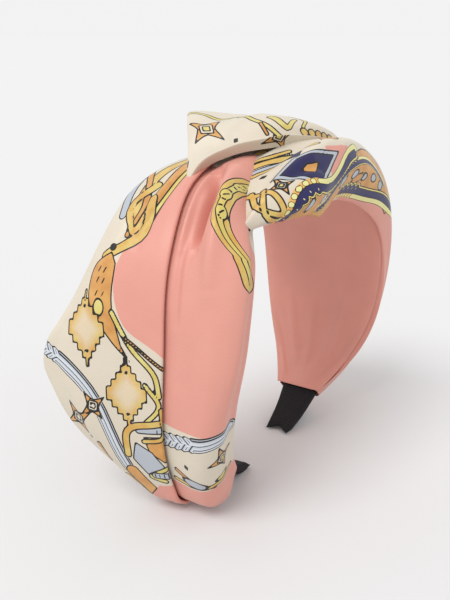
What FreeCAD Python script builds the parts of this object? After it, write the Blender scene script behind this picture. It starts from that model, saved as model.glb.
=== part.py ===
import FreeCAD, Part
import math
import os
from FreeCAD import Vector

# Knotted headband, millimetres. +Z up, +X to the wearer's right hand side of the hoop as drawn,
# -Y the front edge. Every place is given as (s, y, d): s is the distance along the hoop from the
# crown (minus to the left leg), y is across the band, d is the height above the hoop's mid-line.

# Hoop outline, crown to tip: three tangent arcs, each a radius and the angle it turns.
crown_radius = 60.0
side_radius = 100.0
tip_radius = 52.0
crown_turn = 77.0
side_turn = 31.0
tip_turn = 60.0

# Sprung plastic hoop
hoop_thickness = 1.8
hoop_crown_width = 16.0
hoop_tip_width = 9.0

# Flex lines, one each side of the knot
flex_reach = 34.0
knuckle_gap = 0.05
opening_clearance = 24.5
closing_clearance = 7.0
leg_start_gap = 0.3

# Layers, from the hoop outwards and inwards
layer_gap = 0.4
stiffener_thickness = 1.0
stiffener_margin = 4.0
lining_thickness = 0.6
lining_gap = 0.4
lining_margin = 0.5
cover_edge = 1.6

# Spacing of the cuts that a lofted piece runs through, and how far across a cut its underside folds
leg_spacing = 10.0
knot_spacing = 9.0
wrap_spacing = 7.0
neck_spacing = 3.0
fold_share = 0.6
block_margin = 5.0

# Satin band
band_half_width = 29.0
band_front = 28.0
mouth_half_width = 19.0
mouth_reach = 66.0
cover_loft = 8.5
neck_half_width = 10.0
neck_loft = 2.5
neck_begins = 94.0
neck_lead = 1.0
neck_overlap = 1.0
least_loft = 0.5
flare_reach = 50.0
flare_lift = 20.0
flare_centre = 103.0
flare_fold = 20.0
flare_falls = 118.0
flare_closing = 0.8
bell_begins = 108.0
bell_lift = 10.0
bell_gap = 1.5
hem_radius = 6.0
hem_press = 0.3
hem_step = 3.0
hem_front = 20.0
hem_back = 18.0

# Knot
knot_height = 19.0
knot_end_height = 10.0
knot_half_width = 30.0
loop_half_width = 13.0
loop_height = 7.5
knot_inner_gap = 0.3
tack_radius = 0.35
tack_reach = 12.0
tack_spread = 13.0
tack_end_gap = 0.1
knot_fall_off = 1.4

# Tip wraps and gather threads
wrap_length = 28.5
wrap_thickness = 4.4
wrap_half_width = 10.0
wrap_end_half_width = 5.6
wrap_clearance = 0.2
tail_depth = 3.0
hoop_end_inset = 4.0
thread_width = 3.0
thread_thickness = 0.7
thread_clearance = 0.3
foot_cut = 0.9

radii = [crown_radius, side_radius, tip_radius]
turns = [math.radians(t) for t in (crown_turn, side_turn, tip_turn)]
joins = [0.0]
for radius, turn in zip(radii, turns):
    joins.append(joins[-1] + radius * turn)
half_length = joins[-1]

hoop_face = hoop_thickness / 2
stiffener_base = hoop_face + layer_gap
cover_base = stiffener_base + stiffener_thickness + layer_gap
lining_top = -hoop_face - lining_gap
wrap_start = half_length - wrap_length
thread_end = wrap_start - thread_clearance
thread_start = thread_end - thread_width
cover_end = thread_end
neck_start = thread_start - neck_lead
bell_end = neck_start - bell_gap


def side_of(s):
    return -1 if s < 0 else 1


def heading(s):
    """Angle between the hoop's direction and the horizontal, growing from crown to tip."""
    angle = 0.0
    for i, radius in enumerate(radii):
        last = i == len(radii) - 1
        run = abs(s) - joins[i]
        angle += max(0.0, run if last else min(run, joins[i + 1] - joins[i])) / radius
    return angle


def mid_line(s):
    x = z = angle = 0.0
    for i, radius in enumerate(radii):
        last = i == len(radii) - 1
        run = abs(s) - joins[i]
        turn = max(0.0, run if last else min(run, joins[i + 1] - joins[i])) / radius
        x += radius * (math.sin(angle + turn) - math.sin(angle))
        z -= radius * (math.cos(angle) - math.cos(angle + turn))
        angle += turn
    return side_of(s) * x, z


def outward(s):
    angle = heading(s)
    return Vector(side_of(s) * math.sin(angle), 0, math.cos(angle))


def along(s):
    """Unit direction towards the tip on the side that s is on."""
    angle = heading(s)
    return Vector(side_of(s) * math.cos(angle), 0, -math.sin(angle))


def place(s, y, d):
    x, z = mid_line(s)
    return Vector(x, y, z) + outward(s) * d


def arc_chain(s_from, s_to, d):
    """Edges that follow the hoop at height d, one for each arc of its outline."""
    low, high = min(s_from, s_to), max(s_from, s_to)
    stops = [s for j in joins[1:-1] for s in (-j, j) if low < s < high]
    stops = sorted(stops + [low, high], reverse=s_from > s_to)
    edges = []
    for a, b in zip(stops, stops[1:]):
        arc = Part.Arc(place(a, 0, d), place((a + b) / 2, 0, d), place(b, 0, d))
        edges.append(arc.toShape())
    return edges


def curved_bar(s_from, s_to, low, high, half_width):
    """Bar of constant width that follows the hoop exactly, between two heights."""
    far_end = Part.makeLine(place(s_to, 0, high), place(s_to, 0, low))
    near_end = Part.makeLine(place(s_from, 0, low), place(s_from, 0, high))
    edges = arc_chain(s_from, s_to, high) + [far_end] + arc_chain(s_to, s_from, low) + [near_end]
    face = Part.Face(Part.Wire(Part.__sortEdges__(edges)))
    bar = face.extrude(Vector(0, 2 * half_width, 0))
    bar.translate(Vector(0, -half_width, 0))
    return bar


def taper_prism(width_high, width_low, z_high, z_low):
    """Block whose width across the band narrows from z_high to z_low."""
    reach = 2 * (crown_radius + side_radius)
    slope = (width_high - width_low) / 2 / (z_high - z_low)
    top = width_high / 2 + slope * block_margin
    foot = width_low / 2 - slope * block_margin
    upper, lower = z_high + block_margin, z_low - block_margin
    outline = [(-top, upper), (top, upper), (foot, lower), (-foot, lower)]
    points = [Vector(-reach, y, z) for y, z in outline]
    return Part.Face(Part.makePolygon(points + points[:1])).extrude(Vector(2 * reach, 0, 0))


def lens_section(s, front, back, base, crest, fold, lift, edge=cover_edge):
    """Closed outline across the band: flat under side, a lifted back edge and a rounded top."""
    middle = (front + back) / 2
    lowest_middle = base + edge + lift * (middle - front) / (back - front) + least_loft
    middle_height = max(crest, lowest_middle)
    corners = [place(s, front, base), place(s, fold, base), place(s, back, base + lift),
               place(s, back, base + lift + edge), place(s, front, base + edge)]
    sides = [Part.makeLine(corners[i], corners[i + 1]) for i in range(3)]
    top = Part.Arc(corners[3], place(s, middle, middle_height), corners[4]).toShape()
    return Part.Wire(sides + [top, Part.makeLine(corners[4], corners[0])])


def plain_section(s, front, back, low, high):
    corners = [place(s, front, low), place(s, back, low), place(s, back, high),
               place(s, front, high)]
    return Part.makePolygon(corners + corners[:1])


def lofted(sections):
    return Part.makeLoft(sections, True, False)


def smooth_step(value, start, end):
    t = min(1.0, max(0.0, (value - start) / (end - start)))
    return t * t * (3 - 2 * t)


def hump(value, centre, reach):
    """One at the centre, falling smoothly to nothing at the reach on both sides."""
    return 1 - smooth_step(abs(value - centre), 0, reach)


def stations(start, end, spacing):
    count = max(3, int(math.ceil((end - start) / spacing)))
    return [start + (end - start) * i / count for i in range(count + 1)]


def neck_share(reach):
    """Nothing along the leg, growing to one where the fabric is gathered into its neck."""
    return smooth_step(reach, neck_begins, neck_start)


def leg_stations(start):
    """Places along a leg from its start to its gathered neck, then the neck's own end."""
    return stations(start, neck_start, leg_spacing) + [cover_end]


def cover_crest(share):
    return cover_base + cover_edge + cover_loft * (1 - share) + neck_loft * share


def to_neck(half_width, share):
    return half_width + (neck_half_width - half_width) * share


def leg_hinge(side):
    return place(side * flex_reach, 0, 0)


def swing_room(side):
    """Everything that a leg and its fabric can sweep, as seen from the knot."""
    s = side * flex_reach
    reach = 3 * crown_radius
    out_tilt = math.radians(opening_clearance)
    in_tilt = math.radians(closing_clearance)
    hinge = leg_hinge(side)
    tip_way, out_way = along(s), outward(s)
    outer = out_way * math.cos(out_tilt) - tip_way * math.sin(out_tilt)
    inner = out_way * -math.cos(in_tilt) - tip_way * math.sin(in_tilt)
    corners = [hinge, hinge + outer * reach, hinge + (outer + tip_way) * reach,
               hinge + (inner + tip_way) * reach, hinge + inner * reach]
    points = [Vector(c.x, -reach, c.z) for c in corners]
    return Part.Face(Part.makePolygon(points + points[:1])).extrude(Vector(0, 2 * reach, 0))


def clear_of_legs(shape):
    for side in (-1, 1):
        shape = shape.cut(swing_room(side))
    return shape


def hinge_pin(side, radius, half_width):
    hinge = leg_hinge(side)
    return Part.makeCylinder(radius, 2 * half_width, hinge - Vector(0, half_width, 0), Vector(0, 1, 0))


def hoop_crown():
    bar = curved_bar(-flex_reach, flex_reach, -hoop_face, hoop_face, hoop_crown_width / 2)
    strip = clear_of_legs(bar)
    for side in (-1, 1):
        strip = strip.cut(hinge_pin(side, hoop_face + knuckle_gap, hoop_crown_width))
    return strip


def hoop_leg(side):
    start, end = side * flex_reach, side * (half_length - hoop_end_inset)
    strip = curved_bar(start, end, -hoop_face, hoop_face, hoop_crown_width)
    hinge_z, tip_z = leg_hinge(side).z, mid_line(end)[1]
    strip = strip.common(taper_prism(hoop_crown_width, hoop_tip_width, hinge_z, tip_z))
    knuckle = hinge_pin(side, hoop_face, hoop_crown_width / 2 - wrap_clearance)
    return strip.fuse(knuckle).removeSplitter()


def half_beside_knot(side, reach):
    """Half width of the band: the knot squeezes the left leg, and the right leg comes out of it wide."""
    squeeze = (band_half_width - mouth_half_width) * (1 - smooth_step(reach, flex_reach, mouth_reach))
    return band_half_width - (squeeze if side < 0 else 0.0)


def sheet_on_leg(side, start, low, high, margin):
    """Flat sheet along a leg, as wide as the band less a margin, narrowing to the neck."""
    sections = []
    for reach in leg_stations(start):
        half = to_neck(half_beside_knot(side, reach), neck_share(reach)) - margin
        sections.append(plain_section(side * reach, -half, half, low, high))
    return lofted(sections)


def stiffener(side):
    top = stiffener_base + stiffener_thickness
    return sheet_on_leg(side, flex_reach + leg_start_gap, stiffener_base, top, stiffener_margin)


def leg_lining(side):
    low = lining_top - lining_thickness
    return sheet_on_leg(side, flex_reach + 2 * leg_start_gap, low, lining_top, lining_margin)


def crown_lining():
    end = flex_reach - leg_start_gap
    low = lining_top - lining_thickness
    return clear_of_legs(curved_bar(-end, end, low, lining_top, mouth_half_width))


def right_cover():
    sections = []
    for reach in leg_stations(flex_reach + leg_start_gap):
        share = neck_share(reach)
        half = to_neck(band_half_width, share)
        crest = cover_crest(share)
        sections.append(lens_section(reach, -half, half, cover_base, crest, half * fold_share, 0))
    return lofted(sections)


def left_cover():
    """Left leg of the band: it flares at the back and bells out at the foot, round its own neck."""
    sections = []
    for reach in stations(flex_reach + leg_start_gap, bell_end, leg_spacing):
        closing = flare_closing * smooth_step(reach, flare_falls, bell_end)
        flare = smooth_step(reach, flex_reach, flare_centre) * (1 - closing)
        back = band_half_width + (flare_reach - band_half_width) * flare
        crest = cover_crest(0) + bell_lift * smooth_step(reach, bell_begins, bell_end)
        lift = flare_lift * flare
        front = half_beside_knot(-1, reach) - band_half_width + band_front
        sections.append(lens_section(-reach, -front, back, cover_base, crest, flare_fold, lift))
    neck = [plain_section(-reach, -neck_half_width, neck_half_width, cover_base, cover_crest(1))
            for reach in stations(bell_end - neck_overlap, cover_end, neck_spacing)]
    cover = lofted(sections).fuse([lofted(neck), hem_roll()])
    return cover.cut(thread_room(-1)).cut(below_floor())


def hem_roll():
    """Rolled hem at the bell's foot, which stands on the surface beside the tip."""
    s = -(bell_end + hem_step)
    height = floor_height() + hem_radius - hem_press
    centre = place(s, 0, (mid_line(s)[1] - height) / -outward(s).z)
    front, back = centre - Vector(0, hem_front, 0), centre + Vector(0, hem_back, 0)
    rod = Part.makeCylinder(hem_radius, hem_front + hem_back, front, Vector(0, 1, 0))
    return rod.fuse([Part.makeSphere(hem_radius, front), Part.makeSphere(hem_radius, back)])


def knot_half(base, half, end_crest, crest, reach, edge=cover_edge):
    """One half of the knot: a rounded strip over the crown, highest in its middle."""
    sections = []
    for s in stations(-reach, reach, knot_spacing):
        height = end_crest + (crest - end_crest) * hump(s, 0, knot_fall_off * flex_reach)
        sections.append(lens_section(s, -half, half, base, height, half * fold_share, 0, edge))
    return lofted(sections)


def knot_under_loop():
    crest = cover_base + loop_height
    return clear_of_legs(knot_half(cover_base, loop_half_width, crest, crest, flex_reach))


def knot_over_wrap():
    end_crest = cover_base + knot_end_height
    wrap = knot_half(cover_base, knot_half_width, end_crest, knot_height, flex_reach)
    crest = cover_base + loop_height + knot_inner_gap
    room = knot_half(cover_base - knot_inner_gap, loop_half_width + knot_inner_gap, crest, crest,
                     flex_reach + knot_end_height, cover_edge + 2 * knot_inner_gap)
    return clear_of_legs(wrap.cut(room))


def knot_tack_stitches():
    """Short thread tacks from the lining up to the knot, clear of the hoop's edges."""
    low, high = lining_top + tack_end_gap, cover_base - tack_end_gap
    tacks = []
    for s in (-tack_reach, tack_reach):
        for y in (-tack_spread, tack_spread):
            tacks.append(Part.makeCylinder(tack_radius, high - low, place(s, y, low), outward(s)))
    return Part.makeCompound(tacks)


def tip_wrap(side, floor):
    half_high = wrap_thickness / 2
    start, end = side * wrap_start, side * half_length
    sections = []
    for reach in stations(wrap_start, half_length, wrap_spacing):
        share = (reach - wrap_start) / wrap_length
        half = wrap_half_width + (wrap_end_half_width - wrap_half_width) * share
        sections.append(plain_section(side * reach, -half, half, -half_high, half_high))
    wrap = lofted(sections)
    pocket_high = hoop_face + wrap_clearance
    pocket_end = side * (half_length - hoop_end_inset + wrap_clearance)
    pocket_start = side * (wrap_start - wrap_clearance)
    pocket = curved_bar(pocket_start, pocket_end, -pocket_high, pocket_high, hoop_crown_width)
    hinge_z, tip_z = leg_hinge(side).z, mid_line(side * (half_length - hoop_end_inset))[1]
    room = 2 * wrap_clearance
    wrap = wrap.cut(pocket.common(taper_prism(hoop_crown_width + room, hoop_tip_width + room,
                                              hinge_z, tip_z)))
    # Swallow tail: a round notch that leaves the end's two corners
    notch_radius = (wrap_end_half_width ** 2 + tail_depth ** 2) / (2 * tail_depth)
    notch_centre = place(end, 0, -wrap_thickness) + along(end) * (notch_radius - tail_depth)
    notch = Part.makeCylinder(notch_radius, 2 * wrap_thickness, notch_centre, outward(end))
    return wrap.cut(notch).cut(floor)


def thread_ring(side, margin):
    """Ring round the neck, outside the cover, stiffener, hoop and lining, grown outwards by a margin."""
    low = lining_top - lining_thickness - thread_clearance
    high = cover_base + cover_edge + neck_loft + thread_clearance
    half = neck_half_width + thread_clearance
    outside = thread_thickness + margin
    start, end = side * (thread_start - margin), side * (thread_end + margin)
    inside = curved_bar(side * (thread_start - thread_width), side * (thread_end + thread_width),
                        low, high, half)
    return curved_bar(start, end, low - outside, high + outside, half + outside).cut(inside)


def gather_thread(side):
    """Thread wound round the neck."""
    return thread_ring(side, 0.0)


def thread_room(side):
    """Room that the thread keeps clear of the rolled hem, however short the tip wrap is."""
    return thread_ring(side, layer_gap)


def floor_height():
    """Level of the surface under the tips, once each has its small flat foot."""
    return place(half_length, 0, wrap_thickness / 2).z + foot_cut


def below_floor():
    reach = 4 * crown_radius
    block = Part.makeBox(2 * reach, 2 * reach, reach)
    block.translate(Vector(-reach, -reach, floor_height() - reach))
    return block


nodes = {
    "hoop_crown": hoop_crown(),
    "crown_lining": crown_lining(),
    "knot_under_loop": knot_under_loop(),
    "knot_over_wrap": knot_over_wrap(),
    "knot_tack_stitches": knot_tack_stitches(),
    "left_cover": left_cover(),
    "right_cover": right_cover(),
}
for name, side in (("left", -1), ("right", 1)):
    nodes["hoop_" + name + "_leg"] = hoop_leg(side)
    nodes[name + "_stiffener"] = stiffener(side)
    nodes[name + "_lining"] = leg_lining(side)
    nodes[name + "_gather_thread"] = gather_thread(side)
    nodes[name + "_tip_wrap"] = tip_wrap(side, below_floor())

# The origin is on the surface, under the middle of the whole headband's box.
box = Part.makeCompound(list(nodes.values())).optimalBoundingBox()
to_origin = Vector(-box.Center.x, -box.Center.y, -floor_height())
os.makedirs("parts", exist_ok=True)
for name, shape in nodes.items():
    shape.translate(to_origin)
    shape.exportStep("parts/" + name + ".step")
    print(name, "valid" if shape.isValid() else "NOT VALID", len(shape.Solids), round(shape.Volume, 1))
print("hoop's mid-line at the crown:", [round(v, 3) for v in (to_origin.x, to_origin.y, to_origin.z)])
for name, side in (("left", -1), ("right", 1)):
    hinge = leg_hinge(side) + to_origin
    print(name, "flex line at", round(hinge.x, 3), round(hinge.y, 3), round(hinge.z, 3))
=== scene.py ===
import bmesh
import bpy
import numpy as np
from math import cos, pi, radians, sin, tau
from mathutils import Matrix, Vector


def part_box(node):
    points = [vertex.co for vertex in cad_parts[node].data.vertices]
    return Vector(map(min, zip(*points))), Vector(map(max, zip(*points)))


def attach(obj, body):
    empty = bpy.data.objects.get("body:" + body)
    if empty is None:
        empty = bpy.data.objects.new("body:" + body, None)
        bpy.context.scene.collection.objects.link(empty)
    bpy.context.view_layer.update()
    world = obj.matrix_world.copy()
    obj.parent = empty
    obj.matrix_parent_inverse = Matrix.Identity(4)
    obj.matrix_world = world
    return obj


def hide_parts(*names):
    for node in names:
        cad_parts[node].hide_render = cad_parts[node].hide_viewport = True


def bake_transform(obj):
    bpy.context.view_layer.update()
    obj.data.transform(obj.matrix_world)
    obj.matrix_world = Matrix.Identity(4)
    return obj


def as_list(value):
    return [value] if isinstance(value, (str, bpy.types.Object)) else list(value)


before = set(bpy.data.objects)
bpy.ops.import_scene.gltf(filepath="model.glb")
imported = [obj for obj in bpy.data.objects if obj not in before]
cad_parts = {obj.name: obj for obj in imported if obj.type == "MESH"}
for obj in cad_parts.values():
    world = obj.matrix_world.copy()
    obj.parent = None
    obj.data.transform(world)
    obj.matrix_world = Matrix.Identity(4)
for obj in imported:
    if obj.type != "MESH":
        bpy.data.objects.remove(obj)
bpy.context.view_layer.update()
print("stage: frame loaded")

# Places on the band are (s, y, d) in millimetres: s along the hoop from its crown, minus to the left leg,
# y across it from its middle, minus to the front, and d outwards from its middle line.
hoop = {"radii": [60.0, 100.0, 52.0], "turns": [77.0, 31.0, 60.0], "thickness": 1.8}
crownLow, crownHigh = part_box("hoop_crown")
hoopCentre = ((crownLow.x + crownHigh.x) * 500, (crownLow.y + crownHigh.y) * 500)
hoopTop = crownHigh.z * 1000 - hoop["thickness"] / 2


def archPlace(point):
    point = np.asarray(point, float)
    reach = np.abs(point[..., 0])
    x = np.zeros_like(reach)
    z = np.zeros_like(reach)
    angle = np.zeros_like(reach)
    begun = 0.0
    for i, (radius, turn) in enumerate(zip(hoop["radii"], hoop["turns"])):
        length = radius * radians(turn)
        run = np.maximum(reach - begun, 0)
        if i < 2:
            run = np.minimum(run, length)
        step = run / radius
        x += radius * (np.sin(angle + step) - np.sin(angle))
        z -= radius * (np.cos(angle) - np.cos(angle + step))
        angle += step
        begun += length
    side = np.where(point[..., 0] < 0, -1.0, 1.0)
    d = point[..., 2]
    return np.stack([hoopCentre[0] + side * (x + np.sin(angle) * d),
            hoopCentre[1] + point[..., 1],
            hoopTop + z + np.cos(angle) * d], -1) / 1000


def smoothThrough(knots, values, samples):
    # smooth curve through values at uneven knots
    knots, values = np.asarray(knots, float), np.asarray(values, float)
    gaps = np.diff(knots)
    lead = (1,) + (1,) * (values.ndim - 1)
    slopes = np.diff(values, axis=0) / gaps.reshape((-1,) + lead[1:])
    tangents = np.empty_like(values)
    tangents[0], tangents[-1] = slopes[0], slopes[-1]
    before = gaps[:-1].reshape((-1,) + lead[1:])
    after = gaps[1:].reshape((-1,) + lead[1:])
    tangents[1:-1] = (slopes[:-1] * after + slopes[1:] * before) / (before + after)
    where = np.clip(np.searchsorted(knots, samples, side="right") - 1, 0, len(gaps) - 1)
    h = gaps[where].reshape((-1,) + lead[1:])
    t = ((samples - knots[where]) / gaps[where]).reshape((-1,) + lead[1:])
    a, b = values[where], values[where + 1]
    m, n = tangents[where] * h, tangents[where + 1] * h
    rise = 3 * t**2 - 2 * t**3
    return a * (2 * t**3 - 3 * t**2 + 1) + m * (t**3 - 2 * t**2 + t) + b * rise + n * (t**3 - t**2)


def course(points, reach):
    # one measure of a piece, as a smooth run through a few (reach, value) pairs
    knots, values = zip(*points)
    return float(smoothThrough(knots, values, np.array([np.clip(reach, knots[0], knots[-1])]))[0])


def coursesAt(piece, reach):
    # the measure of every course at one place, in the order they are written
    return [course(value, reach) for value in piece.values() if isinstance(value, list)]


def evenly(start, end, spacing):
    return np.linspace(start, end, max(2, round(abs(end - start) / spacing)) + 1)


def spread(control, axis, cell):
    # knots from the mean spacing of the control points, and the samples that give cells of about that size
    steps = np.linalg.norm(np.diff(control, axis=axis), axis=-1).mean(axis=1 - axis)
    knots = np.concatenate([[0], np.cumsum(np.maximum(steps, 0.4))])
    samples = []
    for start, end in zip(knots[:-1], knots[1:]):
        count = max(2, round((end - start) / cell))
        samples += list(np.linspace(start, end, count, endpoint=False))
    return knots, np.array(samples + [knots[-1]])


def fineGrid(control, cell):
    # control is rows along the band by columns across it, each (s, y, d)
    control = np.asarray(control, float)
    rowKnots, rowSamples = spread(control, 0, cell)
    columnKnots, columnSamples = spread(control, 1, cell)
    fine = smoothThrough(rowKnots, control, rowSamples)
    fine = smoothThrough(columnKnots, np.swapaxes(fine, 0, 1), columnSamples)
    return np.swapaxes(fine, 0, 1), columnKnots, columnSamples


def lineDistance(points, line):
    # distance to a chain of points, and how far along it the nearest place is
    line = np.asarray(line, float)
    best = np.full(points.shape[:-1], 1e9)
    travel = np.zeros(points.shape[:-1])
    side = np.zeros(points.shape[:-1])
    gone = 0.0
    for start, end in zip(line[:-1], line[1:]):
        way = end - start
        length = max(np.linalg.norm(way), 1e-6)
        offset = points - start
        t = np.clip((offset @ way) / length**2, 0, 1)
        away = np.linalg.norm(offset - t[..., None] * way, axis=-1)
        closer = away < best
        best = np.where(closer, away, best)
        travel = np.where(closer, gone + t * length, travel)
        turned = way[0] * offset[..., 1] - way[1] * offset[..., 0]
        side = np.where(closer, np.sign(turned), side)
        gone += length
    return best, travel / max(gone, 1e-6), side, travel


def pressFold(fine, line, width, depth, lean=1.0, mask=None):
    # a groove (minus depth) or a ridge along a line of (s, y), with one side steeper than the other
    away, share, side, _ = lineDistance(fine[..., :2], line)
    reach = np.where(side > 0, width * lean, width)
    shape = np.exp(-(away / reach) ** 2) * np.sin(np.pi * np.clip(share, 0.02, 0.98)) ** 0.5
    if mask is not None:
        shape = shape * mask
    fine[..., 2] += depth * shape


def pressFolds(fine, folds, mask=None):
    for line, width, depth, lean in folds:
        pressFold(fine, line, width, depth, lean, mask)


def newObject(name, data):
    made = bpy.data.objects.new(name, data)
    bpy.context.scene.collection.objects.link(made)
    return made


def clothSheet(name, fine, flat, material, thickness=0.35):
    # a fine grid whose corners are then set on the band, with its flat cloth coordinates as its UV map
    rows, columns = fine.shape[:2]
    mesh = bpy.data.meshes.new(name)
    work = bmesh.new()
    layer = work.loops.layers.uv.new("flatCloth")
    bmesh.ops.create_grid(work, x_segments=columns - 1, y_segments=rows - 1, size=1.0, calc_uvs=False)
    work.verts.ensure_lookup_table()
    places = archPlace(fine).reshape(-1, 3)
    order = sorted(range(len(work.verts)), key=lambda i: (round(work.verts[i].co.y, 5), work.verts[i].co.x))
    rank = {work.verts[i].index: n for n, i in enumerate(order)}
    flatList = flat.reshape(-1, 2)
    for vert in work.verts:
        vert.co = places[rank[vert.index]]
    for face in work.faces:
        face.smooth = True
        for loop in face.loops:
            loop[layer].uv = flatList[rank[loop.vert.index]] / 250
    work.to_mesh(mesh)
    work.free()
    piece = newObject(name, mesh)
    mesh.materials.append(material)
    ranks = np.array([rank[i] for i in range(len(mesh.vertices))])
    if thickness:
        wall = piece.modifiers.new("clothThickness", "SOLIDIFY")
        wall.thickness = thickness / 1000
        wall.offset = 0
    return piece, ranks


def rowNear(fine, column, s):
    return int(np.argmin(np.abs(fine[:, column, 0] - s)))


def flatCoordinates(fine, zeroColumn, zeroRow, outer):
    # cloth lengths in millimetres: across from zeroColumn, along from zeroRow, measured on the outer columns
    places = archPlace(fine) * 1000
    across = np.zeros(fine.shape[:2])
    across[:, 1:] = np.cumsum(np.linalg.norm(np.diff(places, axis=1), axis=-1), axis=1)
    across -= across[:, zeroColumn][:, None]
    steps = np.linalg.norm(np.diff(places[:, outer], axis=0), axis=-1).mean(axis=1)
    along = np.concatenate([[0], np.cumsum(steps)])
    along -= along[zeroRow]
    return np.stack([across, np.repeat(along[:, None], fine.shape[1], axis=1)], -1)


# Print drawing. A print holds fields over the cloth's own flat millimetres, below zero inside a colour.
printColours = ["orange", "gold", "yellow", "navy", "silver", "pink", "cream"]


class Print:
    def __init__(self, flat):
        self.flat = flat.reshape(-1, 2)
        count = len(self.flat)
        self.fields = {name: np.full(count, 5.0) for name in (*printColours, "inkLine", "plaitMask",
                "borderMask")}
        for name in ("plaitAcross", "plaitAlong", "borderAcross", "borderAlong", "diamondGlow"):
            self.fields[name] = np.zeros(count)


def lay(cloth, colour, shape, line=0.42):
    # the shader outlines dyed shapes itself, so only a crossing over the same dye needs its own line
    fields = cloth.fields
    crossing = np.maximum(np.abs(shape) - line, fields[colour] + 0.5) if line else None
    for name in printColours:
        if name == colour:
            fields[name] = np.minimum(fields[name], shape)
        else:
            fields[name] = np.maximum(fields[name], -shape)
    for name in ("plaitMask", "borderMask"):
        fields[name] = np.maximum(fields[name], 0.4 - shape)
    fields["inkLine"] = np.maximum(fields["inkLine"], -shape)
    if line:
        fields["inkLine"] = np.minimum(fields["inkLine"], crossing)


def ink(cloth, shape):
    cloth.fields["inkLine"] = np.minimum(cloth.fields["inkLine"], shape)


def near(cloth, points, reach, draw):
    flat = cloth.flat
    points = np.atleast_2d(np.asarray(points, float))
    low, high = points.min(0) - reach, points.max(0) + reach
    mask = ((flat > low) & (flat < high)).all(-1)
    shape = np.full(len(flat), 5.0)
    if mask.any():
        shape[mask] = np.minimum(draw(flat[mask]), 5.0)
    return shape


def smoothLine(points, each=6):
    points = np.asarray(points, float)
    knots = np.concatenate([[0], np.cumsum(np.linalg.norm(np.diff(points, axis=0), axis=1))])
    samples = [np.linspace(a, b, each, endpoint=False) for a, b in zip(knots[:-1], knots[1:])]
    return smoothThrough(knots, points, np.concatenate(samples + [[knots[-1]]]))


def ribbon(cloth, points, width, taper=1.0):
    line = smoothLine(points)

    def draw(local):
        away, share, _, _ = lineDistance(local, line)
        return away - width / 2 * (1 + (taper - 1) * share)
    return near(cloth, line, width + 2, draw)


def layRibbons(cloth, ribbons):
    # each is a colour, a width and the places that it runs through
    for colour, width, way in ribbons:
        lay(cloth, colour, ribbon(cloth, way, width))


def polygon(cloth, corners):
    corners = np.asarray(corners, float)

    def draw(local):
        away, _, _, _ = lineDistance(local, np.vstack([corners, corners[:1]]))
        inside = np.zeros(len(local), bool)
        for a, b in zip(corners, np.roll(corners, -1, axis=0)):
            crosses = (a[1] > local[:, 1]) != (b[1] > local[:, 1])
            if abs(b[1] - a[1]) > 1e-9:
                edge = (b[0] - a[0]) * (local[:, 1] - a[1]) / (b[1] - a[1]) + a[0]
                inside ^= crosses & (local[:, 0] < edge)
        return np.where(inside, -away, away)
    return near(cloth, corners, 5, draw)


def turned(corners, centre, angle, size=1.0):
    c, s = cos(radians(angle)), sin(radians(angle))
    return [(centre[0] + size * (x * c - y * s), centre[1] + size * (x * s + y * c)) for x, y in corners]


def patch(cloth, colour, corners, line=0.42):
    lay(cloth, colour, polygon(cloth, corners), line)


def dot(cloth, centre, radius):
    return near(cloth, centre, radius + 3, lambda local: np.linalg.norm(local - centre, axis=-1) - radius)


def leaf(cloth, centre, long, wide, angle):
    c, s = cos(radians(angle)), sin(radians(angle))

    def draw(local):
        x, y = local[:, 0] - centre[0], local[:, 1] - centre[1]
        u, v = (x * c + y * s) / long, (y * c - x * s) / wide
        return (np.sqrt(u * u + v * v) - 1) * min(long, wide)
    return near(cloth, centre, long + 3, draw)


def hollowSquare(cloth, centre, size, angle, outer="orange", inner="yellow", stretch=1.0):
    # a square whose sides curve inwards, with a pale ring and a small square in its middle
    corners = []
    for turn in range(4):
        a, b = radians(90 * turn), radians(90 * turn + 90)
        for t in (0, 0.25, 0.5, 0.75):
            pull = 1 - 0.5 * sin(pi * t) ** 0.8
            x = (cos(a) * (1 - t) + cos(b) * t) * (pull + 0.12)
            y = (sin(a) * (1 - t) + sin(b) * t) * (pull + 0.12) * stretch
            corners.append((x, y))
    patch(cloth, outer, turned(corners, centre, angle, size))
    square = [(0.42, 0), (0, 0.42 * stretch), (-0.42, 0), (0, -0.42 * stretch)]
    patch(cloth, "cream", turned(square, centre, angle, size * 1.15), 0)
    patch(cloth, inner, turned(square, centre, angle, size * 0.62), 0.36)


def smallSquare(cloth, centre, size, angle):
    corners = [(1, 0), (0, 1.4), (-1, 0), (0, -1.4)]
    ink(cloth, polygon(cloth, turned(corners, centre, angle, size)))


def steppedDiamond(cloth, centre, size, angle):
    steps = 4
    quarter = []
    for i in range(steps):
        quarter += [(i / steps, (steps - i) / steps * 1.3), ((i + 1) / steps, (steps - i) / steps * 1.3)]
    right = quarter + [(x, -y) for x, y in reversed(quarter)]
    corners = right + [(-x, y) for x, y in reversed(right)]
    patch(cloth, "gold", turned(corners, centre, angle, size))
    for end in (1, -1):
        stem = turned([(0, 1.3 * end), (0, 1.62 * end)], centre, angle, size)
        lay(cloth, "gold", ribbon(cloth, stem, size * 0.16), 0.36)
        hole = turned([(0, 0.98 * end)], centre, angle, size)[0]
        lay(cloth, "yellow", dot(cloth, hole, size * 0.06), 0.36)
    local = cloth.flat - np.array(centre)
    c, s = cos(radians(angle)), sin(radians(angle))
    x, y = local @ np.array([c, s]), local @ np.array([-s, c])
    level = 1 - (np.abs(x) + np.abs(y) / 1.3) / size
    cloth.fields["diamondGlow"] = np.maximum(cloth.fields["diamondGlow"], np.clip(level * 1.7, 0, 1))


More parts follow.
